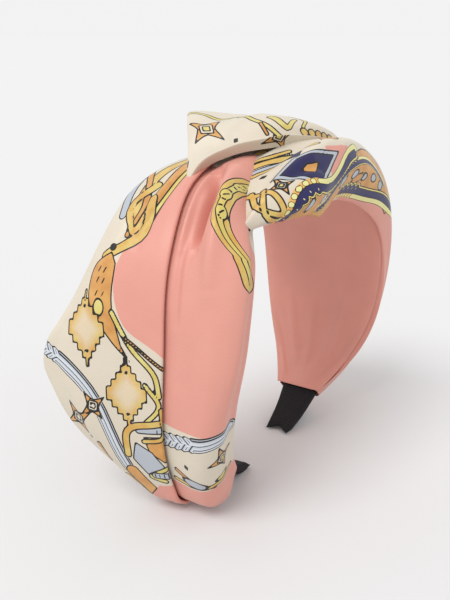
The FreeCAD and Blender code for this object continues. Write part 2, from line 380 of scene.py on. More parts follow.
def trim(cloth, points, width, kind, pitch, side=1):
    # a running pattern along a line: how far across and along it a place is, and whether it's on it
    fields = cloth.fields
    away, _, hand, travel = lineDistance(cloth.flat, smoothLine(points, 8))
    shape = away - width / 2
    closer = shape < fields[kind + "Mask"]
    reach = closer & (shape < 2)
    fields[kind + "Mask"] = np.where(closer, shape, fields[kind + "Mask"])
    fields[kind + "Across"] = np.where(reach, away * hand * side / (width / 2), fields[kind + "Across"])
    fields[kind + "Along"] = np.where(reach, travel / pitch, fields[kind + "Along"])


def plaitedRope(cloth, points, width):
    trim(cloth, points, width, "plait", width * 0.5)


def scallopBorder(cloth, points, width, side):
    trim(cloth, points, width, "border", width * 0.62, side)


def storePrint(piece, ranks, cloth):
    for name, values in cloth.fields.items():
        stored = name + "Print" if name in printColours else name
        attribute = piece.data.attributes.new(stored, "FLOAT", "POINT")
        attribute.data.foreach_set("value", np.clip(values, -5, 5)[ranks].astype(np.float32))


# Materials
def newMaterial(name):
    material = bpy.data.materials.new(name)
    material.use_nodes = True
    nodes = material.node_tree.nodes
    return material, nodes, material.node_tree.links, nodes["Principled BSDF"]


def put(links, socket, value):
    # a socket takes a link, a colour or a plain number
    if isinstance(value, bpy.types.NodeSocket):
        links.new(value, socket)
    elif isinstance(value, tuple) and len(value) == 3 and socket.type == "RGBA":
        socket.default_value = (*value, 1)
    else:
        socket.default_value = value


def setInputs(node, values):
    for name, value in values.items():
        node.inputs[name].default_value = value


def mixed(nodes, links, factor, under, over, way="MIX"):
    mix = nodes.new("ShaderNodeMix")
    mix.data_type = "RGBA"
    mix.blend_type = way
    for socket, value in (("Factor", factor), ("A", under), ("B", over)):
        put(links, mix.inputs[socket], value)
    return mix.outputs["Result"]


def remapped(nodes, links, value, source, target=(0.0, 1.0)):
    remap = nodes.new("ShaderNodeMapRange")
    for name, number in zip(("From Min", "From Max", "To Min", "To Max"), (*source, *target)):
        remap.inputs[name].default_value = number
    links.new(value, remap.inputs["Value"])
    return remap.outputs[0]


def noise(nodes, links, vector, scale, detail):
    texture = nodes.new("ShaderNodeTexNoise")
    put(links, texture.inputs["Scale"], scale)
    texture.inputs["Detail"].default_value = detail
    links.new(vector, texture.inputs["Vector"])
    return texture.outputs[0]


def bumped(nodes, links, surface, height, strength, distance):
    bump = nodes.new("ShaderNodeBump")
    setInputs(bump, {"Strength": strength, "Distance": distance})
    links.new(height, bump.inputs["Height"])
    links.new(bump.outputs[0], surface.inputs["Normal"])


def flatAndGrain(nodes, links, scale):
    # the cloth's flat coordinates and the crepe grain drawn on them
    flat = nodes.new("ShaderNodeUVMap")
    flat.uv_map = "flatCloth"
    grain = nodes.new("ShaderNodeGroup")
    grain.node_tree = crepeGrain
    grain.inputs["Scale"].default_value = scale
    links.new(flat.outputs[0], grain.inputs["Flat"])
    return flat.outputs[0], grain.outputs


def chain(nodes, links):
    # gives a function that adds one Math node and returns its output
    def maths(operation, *values):
        node = nodes.new("ShaderNodeMath")
        node.operation = operation
        for socket, value in zip(node.inputs, values if len(values) > 1 else (*values, 0.0)):
            put(links, socket, value)
        return node.outputs[0]
    return maths


def newGroup(name, **sockets):
    # outputs are the sockets whose kind ends in Out
    group = bpy.data.node_groups.new(name, "ShaderNodeTree")
    for socket, kind in sockets.items():
        way = "OUTPUT" if kind.endswith("Out") else "INPUT"
        group.interface.new_socket(socket, in_out=way, socket_type="NodeSocket" + kind.removesuffix("Out"))
    nodes = group.nodes
    return group, nodes, group.links, nodes.new("NodeGroupInput"), nodes.new("NodeGroupOutput")


def crepeGroup():
    # fine crepe grain of a satin: a tint around one and a height, from the cloth's flat coordinates
    group, nodes, links, inner, outer = newGroup("crepeGrain", Flat="Vector", Scale="Float", Tint="FloatOut",
            Height="FloatOut")
    stretch = nodes.new("ShaderNodeVectorMath")
    stretch.operation = "MULTIPLY"
    stretch.inputs[1].default_value = (3.2, 1.0, 1.0)
    links.new(inner.outputs["Flat"], stretch.inputs[0])
    fine = noise(nodes, links, stretch.outputs[0], inner.outputs["Scale"], 2.0)
    broad = noise(nodes, links, inner.outputs["Flat"], 14.0, 3.0)
    tint = remapped(nodes, links, fine, (0.25, 0.75), (0.93, 1.07))
    blotches = remapped(nodes, links, broad, (0.3, 0.7), (0.97, 1.03))
    links.new(chain(nodes, links)("MULTIPLY", tint, blotches), outer.inputs["Tint"])
    links.new(fine, outer.inputs["Height"])
    return group


def patternGroup(name, draw):
    # a running pattern from how far Across, from -1 to 1, and Along it a place is
    group, nodes, links, inner, outer = newGroup(name, Across="Float", Along="Float", Color="ColorOut",
            Mask="FloatOut")

    def tone(mask, under, over):
        return mixed(nodes, links, mask, under, over)
    colour, mask = draw(chain(nodes, links), tone, inner.outputs["Across"], inner.outputs["Along"])
    links.new(colour, outer.inputs["Color"])
    links.new(mask, outer.inputs["Mask"])
    return group


def plaitStrands(maths, tone, across, along):
    reach = maths("ABSOLUTE", across)
    half = maths("MULTIPLY", maths("GREATER_THAN", across, 0.0), 0.5)
    phase = maths("FRACT", maths("ADD", maths("MULTIPLY_ADD", reach, 0.9, along), half))
    edge = maths("ABSOLUTE", maths("SUBTRACT", phase, 0.5))
    rim = maths("MULTIPLY_ADD", edge, -0.34, 1.0)
    between = maths("GREATER_THAN", edge, 0.41)
    outline = maths("GREATER_THAN", reach, maths("SUBTRACT", rim, 0.14))
    inMiddle = maths("LESS_THAN", maths("ABSOLUTE", maths("SUBTRACT", reach, 0.5)), 0.22)
    stroke = maths("MULTIPLY", maths("LESS_THAN", edge, 0.05), inMiddle)
    ink = maths("MAXIMUM", maths("MAXIMUM", between, outline), stroke)
    shade = tone(maths("MULTIPLY", edge, 1.6), (0.66, 0.69, 0.73), (0.36, 0.40, 0.46))
    return tone(ink, shade, (0.012, 0.010, 0.009)), maths("LESS_THAN", reach, rim)


def borderLobes(maths, tone, across, along):
    wave = maths("ABSOLUTE", maths("SINE", maths("MULTIPLY", along, pi)))
    lobe = maths("MULTIPLY_ADD", wave, 0.32, 0.44)
    outside = maths("SUBTRACT", across, lobe)
    gold = maths("GREATER_THAN", outside, 0.0)
    line = maths("MAXIMUM", maths("LESS_THAN", maths("ABSOLUTE", outside), 0.05),
            maths("LESS_THAN", maths("ABSOLUTE", maths("SUBTRACT", outside, 0.24)), 0.06))
    beads = maths("LESS_THAN", across, -0.36)
    spot = maths("SUBTRACT", maths("FRACT", maths("MULTIPLY", along, 1.5)), 0.5)
    bead = maths("SQRT", maths("ADD", maths("POWER", maths("MULTIPLY", spot, 0.85), 2.0),
            maths("POWER", maths("ADD", across, 0.66), 2.0)))
    dash = maths("SUBTRACT", maths("FRACT", along), 0.5)
    grain = maths("SQRT", maths("ADD", maths("POWER", maths("MULTIPLY", dash, 2.4), 2.0),
            maths("POWER", maths("SUBTRACT", across, 0.28), 2.0)))
    colour = tone(gold, (0.020, 0.018, 0.095), (0.78, 0.66, 0.20))
    colour = tone(maths("LESS_THAN", grain, 0.13), colour, (0.70, 0.62, 0.30))
    colour = tone(beads, colour, (0.76, 0.42, 0.12))
    colour = tone(maths("LESS_THAN", bead, 0.34), colour, (0.012, 0.010, 0.009))
    colour = tone(maths("LESS_THAN", bead, 0.27), colour, (0.74, 0.70, 0.30))
    line = maths("MAXIMUM", line, maths("LESS_THAN", maths("ABSOLUTE", maths("ADD", across, 0.36)), 0.05))
    return tone(line, colour, (0.012, 0.010, 0.009)), maths("LESS_THAN", outside, 0.30)


crepeGrain = crepeGroup()
plaitPattern = patternGroup("plaitPattern", plaitStrands)
borderPattern = patternGroup("borderPattern", borderLobes)
dyes = {"cream": (0.64, 0.57, 0.46), "navy": (0.018, 0.016, 0.080), "silver": (0.42, 0.45, 0.50),
        "pink": (0.68, 0.30, 0.24), "diamondMiddle": (0.66, 0.54, 0.38), "inkLine": (0.012, 0.010, 0.009)}
# these run unevenly between a light and a dark tone
unevenDyes = {"orange": ((0.64, 0.34, 0.10), (0.54, 0.25, 0.07)),
        "gold": ((0.63, 0.48, 0.15), (0.60, 0.34, 0.08)),
        "yellow": ((0.65, 0.57, 0.20), (0.60, 0.47, 0.12))}
satin = {"roughness": 0.42, "sheen": 0.12, "sheenRoughness": 0.45, "specular": 0.35, "grain": 420.0,
         "grainStrength": 0.35, "grainDepth": 0.00006}


def printColour(nodes, links, flat, ground):
    # the dyes laid over the ground one after another, then the ink outlines and the running patterns
    maths = chain(nodes, links)

    def field(name):
        reader = nodes.new("ShaderNodeAttribute")
        reader.attribute_name = name
        return reader.outputs["Fac"]

    def overlay(last, name, tone):
        inside = remapped(nodes, links, field(name + "Print"), (-0.1, 0.1), (1.0, 0.0))
        return mixed(nodes, links, inside, last, tone)
    last = ground
    for name in ("pink", "cream", "silver"):
        last = overlay(last, name, dyes[name])
    patches = remapped(nodes, links, noise(nodes, links, flat, 40.0, 2.0), (0.35, 0.65))
    for name, (light, dark) in unevenDyes.items():
        last = overlay(last, name, mixed(nodes, links, patches, light, dark))
    last = mixed(nodes, links, field("diamondGlow"), last, dyes["diamondMiddle"])
    last = overlay(last, "navy", dyes["navy"])
    outline = maths("LESS_THAN", field("inkLine"), 0.0)
    for name in (*unevenDyes, "silver", "navy"):
        rim = maths("LESS_THAN", maths("ABSOLUTE", field(name + "Print")), 0.3)
        outline = maths("MAXIMUM", outline, rim)
    last = mixed(nodes, links, outline, last, dyes["inkLine"])
    for kind, pattern in (("border", borderPattern), ("plait", plaitPattern)):
        made = nodes.new("ShaderNodeGroup")
        made.node_tree = pattern
        links.new(field(kind + "Across"), made.inputs["Across"])
        links.new(field(kind + "Along"), made.inputs["Along"])
        shown = maths("MULTIPLY", made.outputs["Mask"], maths("LESS_THAN", field(kind + "Mask"), 0.0))
        last = mixed(nodes, links, shown, last, made.outputs["Color"])
    return last


def satinCloth(name, ground, printed):
    material, nodes, links, surface = newMaterial(name)
    flat, grain = flatAndGrain(nodes, links, satin["grain"])
    colour = nodes.new("ShaderNodeRGB")
    colour.outputs[0].default_value = (*ground, 1)
    dyed = printColour(nodes, links, flat, colour.outputs[0]) if printed else colour.outputs[0]
    links.new(mixed(nodes, links, 1.0, dyed, grain["Tint"], "MULTIPLY"), surface.inputs["Base Color"])
    bumped(nodes, links, surface, grain["Height"], satin["grainStrength"], satin["grainDepth"])
    setInputs(surface, {"Roughness": satin["roughness"], "Specular IOR Level": satin["specular"],
            "Sheen Weight": satin["sheen"], "Sheen Roughness": satin["sheenRoughness"]})
    return material


printedSatin = satinCloth("printedSatin", dyes["cream"], True)
pinkLining = satinCloth("pinkLining", dyes["pink"], False)


def plainMaterial(name, tone, roughness, scale, depth, specular=0.5, sheen=0.0, unevenness=(0.82, 1.15)):
    # a solid colour with a fine uneven grain in its tone, roughness and height
    material, nodes, links, surface = newMaterial(name)
    place = nodes.new("ShaderNodeTexCoord")
    grain = noise(nodes, links, place.outputs["Object"], scale, 4.0)
    dark, light = [tuple(min(1.0, c * share) for c in tone) for share in unevenness]
    links.new(mixed(nodes, links, grain, dark, light), surface.inputs["Base Color"])
    rough = remapped(nodes, links, grain, (0.0, 1.0), (roughness - 0.08, roughness + 0.08))
    links.new(rough, surface.inputs["Roughness"])
    bumped(nodes, links, surface, grain, 0.4, depth)
    setInputs(surface, {"Specular IOR Level": specular, "Sheen Weight": sheen})
    return material


hoopPlastic = plainMaterial("hoopPlastic", (0.10, 0.10, 0.11), 0.45, 300.0, 0.00002)
interlining = plainMaterial("interlining", (0.62, 0.58, 0.52), 0.9, 900.0, 0.00008, 0.2, 0.2)
sewingThread = plainMaterial("sewingThread", (0.62, 0.50, 0.40), 0.7, 1500.0, 0.00005, 0.3, 0.2)
for node, finish in {"hoop_crown": hoopPlastic, "hoop_left_leg": hoopPlastic, "hoop_right_leg": hoopPlastic,
        "left_stiffener": interlining, "right_stiffener": interlining,
        "knot_tack_stitches": sewingThread}.items():
    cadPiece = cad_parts[node]
    cadPiece.data.materials.clear()
    cadPiece.data.materials.append(finish)
print("stage: materials made")

# Left cover: each course gives a measure against the distance from the crown, in millimetres
leftCover = {
    "cell": 0.57, "tuck": 8.0, "layer": 1.5, "start": 12.0, "hem": 154.0, "hemRoll": 7.0, "end": 157.0,
    "spacing": 8.0,
    "neckHalf": 9.0, "neckHeight": 3.0,
    "front": [(12, -12), (36, -15), (60, -27), (90, -30), (120, -24), (154, -17)],
    "frontHeight": [(12, 5), (40, 8), (90, 9), (125, 12), (154, 15)],
    "panelHeight": [(12, 10), (30, 14), (95, 13), (130, 17), (154, 20)],
    "pleat": [(12, 6), (32, 9), (60, 4), (100, 0), (130, 1), (154, 0)],
    "pleatHeight": [(12, 8), (60, 11), (95, 11), (140, 17), (154, 20)],
    "ridge": [(12, 14), (45, 24), (75, 31), (102, 40), (130, 30), (154, 12)],
    "ridgeHeight": [(12, 8), (45, 14), (90, 19), (120, 23), (154, 23)],
    "back": [(12, 25), (40, 35), (60, 38), (85, 46), (98, 53), (103, 56), (109, 53), (132, 41), (154, 17)],
    "backHeight": [(12, 6), (45, 11), (80, 14), (102, 21), (154, 19)],
    "seamFront": [(12, -11), (60, -20), (120, -20), (154, -10)],
    "seamBack": [(12, 16), (36, 20), (125, 20), (154, 10)],
}
coverEnd = -leftCover["end"]


def leftStations():
    rows = [(-reach, *coursesAt(leftCover, reach))
            for reach in evenly(leftCover["start"], leftCover["hem"], leftCover["spacing"])]
    # past the hem the cloth rolls under and back up to its gathered neck
    half, height = leftCover["neckHalf"], leftCover["neckHeight"]
    neck = (-half, height, height, 0, height, half / 3, height, half, height, -half, half)
    hemRow = rows[-1][1:]
    for angle in (45, 85, 125, 155):
        roll = sin(radians(angle)) * leftCover["hemRoll"]
        share = (1 - cos(radians(angle))) / 2
        measures = [edge + (end - edge) * share for edge, end in zip(hemRow, neck)]
        rows.append((-(leftCover["hem"] + roll), *measures))
    return rows


def leftCoverColumns(station):
    s, frontY, frontD, panelD, creaseY, creaseD, ridgeY, ridgeD, backY, backD, seamFront, seamBack = station
    layer = min(leftCover["layer"], 0.35 * creaseD)
    tuck = min(leftCover["tuck"], 0.45 * (backY - creaseY))
    inner = max(s, coverEnd)
    width = creaseY - frontY
    return [
        (inner, seamFront, -1.4), (inner, frontY * 0.82 + seamFront * 0.18, -0.9),
        (0.6 * s + 0.4 * inner, frontY * 0.96, frontD * 0.25),
        (s, frontY, frontD * 0.8), (s, frontY + 0.07 * width, 0.45 * (frontD + panelD)),
        (s, frontY + 0.24 * width, 0.96 * panelD),
        (s, frontY + 0.45 * width, panelD), (s, frontY + 0.75 * width, 0.55 * panelD + 0.45 * creaseD),
        (s, creaseY - 1.0, creaseD), (s, creaseY + 0.6 * tuck, creaseD - 0.5),
        (s, creaseY + tuck, creaseD - 0.2),
        (s, creaseY + tuck + 0.4, creaseD + 0.35 * layer), (s, creaseY + tuck - 0.6, creaseD + 0.6 * layer),
        (s, creaseY + 1.6, creaseD + 0.55 * layer), (s, creaseY + 0.1, creaseD + 0.75 * layer),
        (s, creaseY + 0.1, creaseD + 1.25 * layer), (s, creaseY + 1.8, creaseD + 1.75 * layer),
        (s, 0.65 * creaseY + 0.35 * ridgeY, 0.6 * (creaseD + 1.8 * layer) + 0.4 * ridgeD),
        (s, ridgeY, ridgeD), (s, 0.5 * (ridgeY + backY), 0.55 * ridgeD + 0.45 * backD + 0.3),
        (s, backY - 1.2, backD + 0.9), (s, backY, backD), (s, backY - 1.5, backD - 1.1),
        (0.6 * s + 0.4 * inner, 0.6 * backY + 0.4 * seamBack, 0.45 * backD), (inner, seamBack + 2.5, -0.9),
        (inner, seamBack, -1.4)]


control = [leftCoverColumns(station) for station in leftStations()]
fine, knots, samples = fineGrid(control, leftCover["cell"])
creaseColumn = int(np.argmin(np.abs(samples - knots[15])))
topFace = ((samples > knots[3]) & (samples < knots[9])).astype(float)
backFace = ((samples > knots[14]) & (samples < knots[21])).astype(float)
# the deep hollow beside the rolled front of the panel, and softer folds that run from the gathers
pressFolds(fine, [
    ([(-28, 1), (-40, -4), (-60, -6)], 3.4, -11, 0.7), ([(-28, -7), (-44, -13), (-72, -17)], 3.6, 3.6, 1.0),
    ([(-30, 4), (-48, 1), (-84, -4)], 1.8, -1.8, 1.0), ([(-28, 5), (-60, 1)], 1.6, 1.8, 1.0),
    ([(-58, -13), (-135, -10)], 5.0, -0.9, 1.2)], topFace)
pressFolds(fine, [
    ([(-28, 15), (-62, 18)], 2.0, -1.6, 1.3), ([(-30, 20), (-66, 27)], 2.0, -1.4, 1.3),
    ([(-88, 10), (-110, 16), (-134, 12)], 6.0, -0.8, 1.0),
    ([(-96, 50), (-146, 20)], 3.0, 0.8, 1.0)], backFace)
leftFlat = flatCoordinates(fine, creaseColumn, rowNear(fine, creaseColumn, -22),
        slice(int(creaseColumn * 0.3), creaseColumn + 30))
leftPiece, leftRanks = clothSheet("leftCover", fine, leftFlat, printedSatin, 0)
cloth = Print(leftFlat)
pinkEdge = smoothLine([(0, -12), (7, 10), (12, 38), (22, 62), (17, 80), (0, 90), (-16, 119)], 6)
patch(cloth, "pink", [*pinkEdge, (-70, 119), (-70, -12)], 0)
# interlaced ribbons that come down from the knot: colour, width and the places each runs through
layRibbons(cloth, [
    ("gold", 5, [(13, -6), (19, 22), (19, 44)]), ("silver", 4, [(21, -4), (27, 28), (26, 38)]),
    ("orange", 6, [(9, -8), (10, 20), (14, 42)]), ("yellow", 2, [(6, 2), (8, 22), (12, 38)]),
    ("orange", 3, [(26, 6), (17, 32), (20, 46)]),
    ("gold", 3, [(15, 20), (23, 36), (17, 45), (14, 36)]),
    ("gold", 4, [(14, 28), (13, 44), (28, 56)])])
lay(cloth, "yellow", leaf(cloth, (26, 14), 3.4, 2.2, 70))
lay(cloth, "silver", leaf(cloth, (30, 22), 5.0, 2.0, 80))
ink(cloth, dot(cloth, (25, 52), 1.6))
# strap with stitches and a round stud, and the cord that runs from it to the pleat
strapEdge = smoothLine([(25, 54), (33, 60), (33, 73), (23, 86), (14, 94)], 6)
patch(cloth, "orange", [*strapEdge, *smoothLine([(18, 88), (22, 74), (22, 58)], 6)])
for l in (61, 65, 70):
    for a in (26, 29):
        ink(cloth, ribbon(cloth, [(a, l - 1), (a + 1, l + 1)], 0.7))
lay(cloth, "yellow", leaf(cloth, (28, 75), 3.2, 2.3, 90))
layRibbons(cloth, [
    ("yellow", 2.2, [(22, 76), (13, 89), (3, 98), (1, 106)]), ("orange", 1.2, [(16, 85), (-1, 95)])])
steppedDiamond(cloth, (34, 84), 8.6, 6)
steppedDiamond(cloth, (15, 107), 8.8, 4)
plaitedRope(cloth, [(62, 92), (44, 99), (32, 108), (16, 145)], 6.2)
plaitedRope(cloth, [(-14, 127), (-52, 120)], 7.6)
# lower end: hollow squares, a buckle, scrolls and a shell
hollowSquare(cloth, (30, 114), 6.0, 40, inner="cream")
hollowSquare(cloth, (38, 121), 7.0, 30, inner="cream")
smallSquare(cloth, (33, 129), 0.9, 10)
smallSquare(cloth, (-28, 136), 1.2, 20)
hollowSquare(cloth, (-45, 133), 6.6, 12)
patch(cloth, "orange", [(8, 125), (-2, 124), (-2, 138), (6, 132)])
patch(cloth, "silver", [(12, 128), (5, 132), (0, 140), (9, 144), (14, 136)])
layRibbons(cloth, [
    ("silver", 3, [(10, 122), (0, 121)]), ("yellow", 2, [(7, 102), (1, 110), (8, 120)]),
    ("gold", 3, [(1, 118), (15, 123), (16, 134)]), ("gold", 2, [(0, 112), (0, 125), (8, 127)]),
    ("yellow", 2, [(0, 140), (8, 145), (2, 147)]), ("silver", 3, [(6, 144), (-3, 144)]),
    ("orange", 6, [(16, 143), (8, 159)]), ("gold", 3, [(20, 147), (13, 160)]),
    ("orange", 2, [(-22, 140), (-38, 148)]), ("gold", 2, [(-20, 146), (-50, 148)]),
    ("yellow", 2, [(-24, 152), (-50, 152)]), ("orange", 2, [(29, 131), (26, 139)])])
for a in (2, 4, 6, 8):
    ink(cloth, ribbon(cloth, [(a, 121), (a, 123)], 0.6))
    ink(cloth, ribbon(cloth, [(a - 2, 143), (a - 2, 145)], 0.6))
lay(cloth, "silver", leaf(cloth, (-30, 145), 5.5, 2.2, -15))
lay(cloth, "yellow", leaf(cloth, (-43, 145), 3.6, 1.4, 0))
patch(cloth, "pink", [(6, 150), (-16, 148), (-90, 152), (-90, 190), (40, 190)], 0)
# yellow scroll down the front edge
scroll = [(-46, -2), (-54, 18), (-53, 40), (-57, 54)]
lay(cloth, "gold", ribbon(cloth, scroll, 9))
lay(cloth, "yellow", ribbon(cloth, scroll, 3.6, 0.7))
for l in (16, 24, 32):
    lay(cloth, "yellow", dot(cloth, (-54, l), 2.6))
    ink(cloth, ribbon(cloth, [(-55, l - 1), (-53, l + 1)], 0.7))
storePrint(leftPiece, leftRanks, cloth)
archPlace((-26, 0, 4))
archPlace((-44, 0, 4))
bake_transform(leftPiece)
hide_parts("left_cover")
print("stage: left cover", len(leftPiece.data.vertices))

# Right cover, from the front of the knot to the right tip: each course gives a measure against s
rightCover = {
    "cell": 0.56, "start": -47.0, "end": 161.0, "spacing": 10.0,
    "low": [(-47, -18), (-30, -29), (10, -29), (67, -35), (133, -27), (161, -11)],
    "lowHeight": [(-47, 2), (-28, -7), (40, -8), (72, -2), (161, -3)],
    "front": [(-47, -21), (-30, -35), (0, -37), (52, -37), (133, -25), (161, -11)],
    "frontHeight": [(-47, 4), (-25, 1), (30, 4), (67, 8), (100, 5), (161, 1)],
    "shoulder": [(-47, -20), (-25, -30), (40, -31), (105, -25), (140, -20), (161, -9)],
    "shoulderHeight": [(-47, 7), (-20, 11), (28, 15), (62, 20), (98, 12), (161, 4)],
    "middleHeight": [(-47, 6), (0, 12), (55, 13), (120, 11), (161, 4)],
    "back": [(-47, -13), (-30, 2), (-10, 25), (20, 31), (95, 31), (143, 20), (161, 11)],
    "backHeight": [(-47, 6), (30, 7), (110, 6), (161, 1)],
    "seamFront": [(-47, -15), (0, -22), (62, -33), (120, -28), (161, -11)],
    "seamBack": [(-47, -13), (-28, 3), (0, 22), (60, 30), (122, 26), (161, 11)],
}


def rightStations():
    return [(s, *coursesAt(rightCover, s))
            for s in evenly(rightCover["start"], rightCover["end"], rightCover["spacing"])]


def rightCoverColumns(station):
    s, lowY, lowD, frontY, frontD, shoulderY, shoulderD, midD, backY, backD, seamFront, seamBack = station
    return [
        (s, seamFront, min(lowD + 1.5, -1.2)), (s, lowY, lowD),
        (s, 0.35 * lowY + 0.65 * frontY, 0.55 * lowD + 0.45 * frontD),
        (s, frontY, frontD), (s, 0.6 * frontY + 0.4 * shoulderY, 0.45 * frontD + 0.55 * shoulderD),
        (s, shoulderY, shoulderD),
        (s, 0.72 * shoulderY + 0.28 * backY, 0.4 * shoulderD + 0.6 * midD),
        (s, 0.5 * (shoulderY + backY), midD),
        (s, 0.2 * shoulderY + 0.8 * backY, 0.8 * midD + 0.2 * backD), (s, backY - 1.5, backD + 1.5),
        (s, backY, 0.6 * backD),
        (s, backY - 0.8, 0.0), (s, seamBack, -1.3)]


control = [rightCoverColumns(station) for station in rightStations()]
fine, knots, samples = fineGrid(control, rightCover["cell"])
frontFace = ((samples > knots[1]) & (samples < knots[7])).astype(float)
frontStart = int(np.argmin(np.abs(samples - knots[5])))
pressFolds(fine, [
    ([(-30, -26), (-14, -33.5), (4, -34)], 2.2, -3.2, 0.8),
    ([(-26, -14), (-10, -22), (10, -25)], 2.0, -1.8, 1.0),
    ([(-24, -8), (-6, -16), (14, -18)], 2.0, 1.4, 1.0)], frontFace)
rightFlat = flatCoordinates(fine, frontStart, rowNear(fine, frontStart, -30),
        slice(frontStart, frontStart + 8))
rightPiece, rightRanks = clothSheet("rightCover", fine, rightFlat, printedSatin, 0)
cloth = Print(rightFlat)
# plain pink below the printed border, and the printed outside
patch(cloth, "pink", [(-15, 96), (-8, 130), (-8, 260), (-60, 260), (-60, 52), (-22, 52)], 0)
layRibbons(cloth, [
    ("gold", 3, [(26, -2), (19, 16), (8, 30)]), ("silver", 3, [(22, -2), (14, 20)]),
    ("gold", 2, [(20, -4), (15, 14)]), ("gold", 2, [(28, 6), (18, 24)]),
    ("yellow", 2, [(25, -8), (17, -4)])])
smallSquare(cloth, (13, 4), 1.3, 30)
patch(cloth, "navy", [(16, 17), (10, 22), (8, 17), (14, 14)])
# navy diamond inside a silver one, with a pink patch beside it
patch(cloth, "pink", [(4, 30), (-2, 46), (-10, 36), (-7, 24)])
kite = {"middle": (0, 16), "corners": [(5, 4), (7, 15), (-1, 32), (-7, 13)]}
for colour, scale in (("silver", 1.3), ("navy", 1.0), ("orange", 0.36)):
    corners = [tuple(m + (c - m) * scale for c,
            m in zip(corner, kite["middle"])) for corner in kite["corners"]]
    patch(cloth, colour, corners)
hollowSquare(cloth, (1, 0), 4.6, 20)
# gold loop below the fold
layRibbons(cloth, [
    ("gold", 2.4, [(12, -8), (0, -5), (-8, -9), (0, -13), (10, -6)]),
    ("gold", 2.2, [(6, -4), (-5, -14), (-13, -9)])])
# navy borders over an orange ground with pale leaves
groundFront = smoothLine([(-13, -8), (-8, 6), (-11, 20), (-2, 70), (-12, 116)], 6)
groundBack = smoothLine([(-20, 112), (-23, 52), (-30, 4)], 6)
patch(cloth, "orange", [*groundFront, *groundBack])
for step in range(8):
    lay(cloth, "silver", leaf(cloth, (-14 - step % 2, 4 + 12 * step), 3.4, 1.8, 30 + 11 * step))
scallopBorder(cloth, [(-14, -10), (-7, 4), (-11, 20), (-5, 52)], 8.0, 1)
scallopBorder(cloth, [(-20, 12), (-12, 40), (-8, 68), (-13, 92)], 4.4, 1)
lay(cloth, "orange", leaf(cloth, (-16, 57), 6.0, 2.0, 75))
scallopBorder(cloth, [(-22, 40), (-20, 90), (-6, 124), (20, 128), (62, 118)], 8.4, -1)
# outside of the leg, away from the border
steppedDiamond(cloth, (14, 84), 8.6, 0)
steppedDiamond(cloth, (34, 98), 8.6, 0)
layRibbons(cloth, [
    ("orange", 6, [(6, 42), (16, 58), (20, 76)]), ("gold", 4, [(30, 20), (22, 40), (36, 58)]),
    ("yellow", 3, [(40, 24), (40, 50), (54, 76)])])
hollowSquare(cloth, (46, 80), 6.0, 20)
hollowSquare(cloth, (26, 114), 5.0, 40)
patch(cloth, "pink", [(-8, 134), (22, 136), (90, 120), (90, 260), (-60, 260), (-60, 134)], 0)
storePrint(rightPiece, rightRanks, cloth)
archPlace((26, 0, 4))
archPlace((44, 0, 4))
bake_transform(rightPiece)
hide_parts("right_cover")
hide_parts("knot_under_loop")
print("stage: right cover", len(rightPiece.data.vertices))

# The band of the knot that passes over the top, skinned over guide lines that run from its tucked left
# edge to the right leg: its foot and shoulder behind the crest, its crest, its face and its front lip
creamBand = {
    "cell": 0.42, "creaseDrop": 2.5, "underDrop": 5.0, "edgeTuck": 11.0, "edgeTurn": 0.3,
    "foot": [(2, 22, 3), (15, 26, 3), (29, 15, 6), (36, 4, 9), (46, -7, 10), (62, -14, 11)],
    "shoulder": [(-2, 27, 15), (6, 33, 16), (16, 17, 17), (22, 0, 18), (32, -9, 17), (54, -14, 14)],
    "crest": [(-8, 31, 21), (-6, 32, 23), (0, 15, 22), (5, -4, 22), (16, -13, 20), (42, -18, 18)],
    "face": [(-24, 18, 15), (-20, 20, 20), (-15, 4, 20), (-7, -9, 20), (6, -16, 18), (34, -20, 17)],
    "lip": [(-37, 12, 9), (-31, 10, 14), (-22, -1, 18), (-13, -14, 18), (1, -19, 15), (30, -22, 14)],
}


def bandRows():
    foot, shoulder, crest, face, lip = [np.array(creamBand[name], float)
            for name in ("foot", "shoulder", "crest", "face", "lip")]
    crease = 0.35 * face + 0.65 * lip
    crease[:, 2] -= creamBand["creaseDrop"] * np.array([0, 0.6, 1, 1, 0.8, 0.4])
    under = lip + (1, 1, 0)
    under[:, 2] -= creamBand["underDrop"]
    rows = np.stack([foot, shoulder, crest, 0.5 * (crest + face) + (0, 0, 1), face, crease, lip, under],
            axis=1)
    # the left edge turns under and sinks to the covers below, which closes the knot at the back
    turned = rows[0] + (rows[1] - rows[0]) * creamBand["edgeTurn"]
    turned[:, 2] = np.maximum(turned[:, 2] - creamBand["edgeTuck"], 2.0)
    return np.concatenate([turned[None], rows])


control = bandRows()
fine, knots, samples = fineGrid(control, creamBand["cell"])
pressFolds(fine, [
    ([(-18, 22), (-6, 12), (8, 6)], 3.0, -0.9, 1.0), ([(-22, 8), (-10, 4), (4, 0)], 2.4, 0.7, 1.0)])
faceColumn = int(np.argmin(np.abs(samples - knots[4])))
bandFlat = flatCoordinates(fine, faceColumn, 0, slice(faceColumn - 10, faceColumn + 10))
bandPiece, bandRanks = clothSheet("creamBand", fine, bandFlat, printedSatin, 0)
cloth = Print(bandFlat)
hollowSquare(cloth, (-1, 25), 8.2, 52, inner="yellow")
smallSquare(cloth, (10, 13), 1.3, 70)
smallSquare(cloth, (5, 37), 1.1, 50)
hollowSquare(cloth, (11, 55), 6.0, 20, stretch=1.3)
layRibbons(cloth, [
    ("yellow", 2, [(-19, 16), (-12, 32), (-17, 38)]), ("yellow", 2, [(-13, 38), (6, 56)]),
    ("orange", 1.4, [(-3, 47), (4, 50)]), ("yellow", 3, [(-9, 50), (1, 61), (-5, 62)]),
    ("yellow", 2, [(-12, 58), (-6, 68), (2, 69)]), ("gold", 2, [(-14, 74), (-5, 90)]),
    ("gold", 3, [(-30, 10), (-26, 44), (-22, 84)])])
for i in range(5):
    lay(cloth, "gold", leaf(cloth, (3, 70 + 5 * i), 2.8, 1.7, 60))
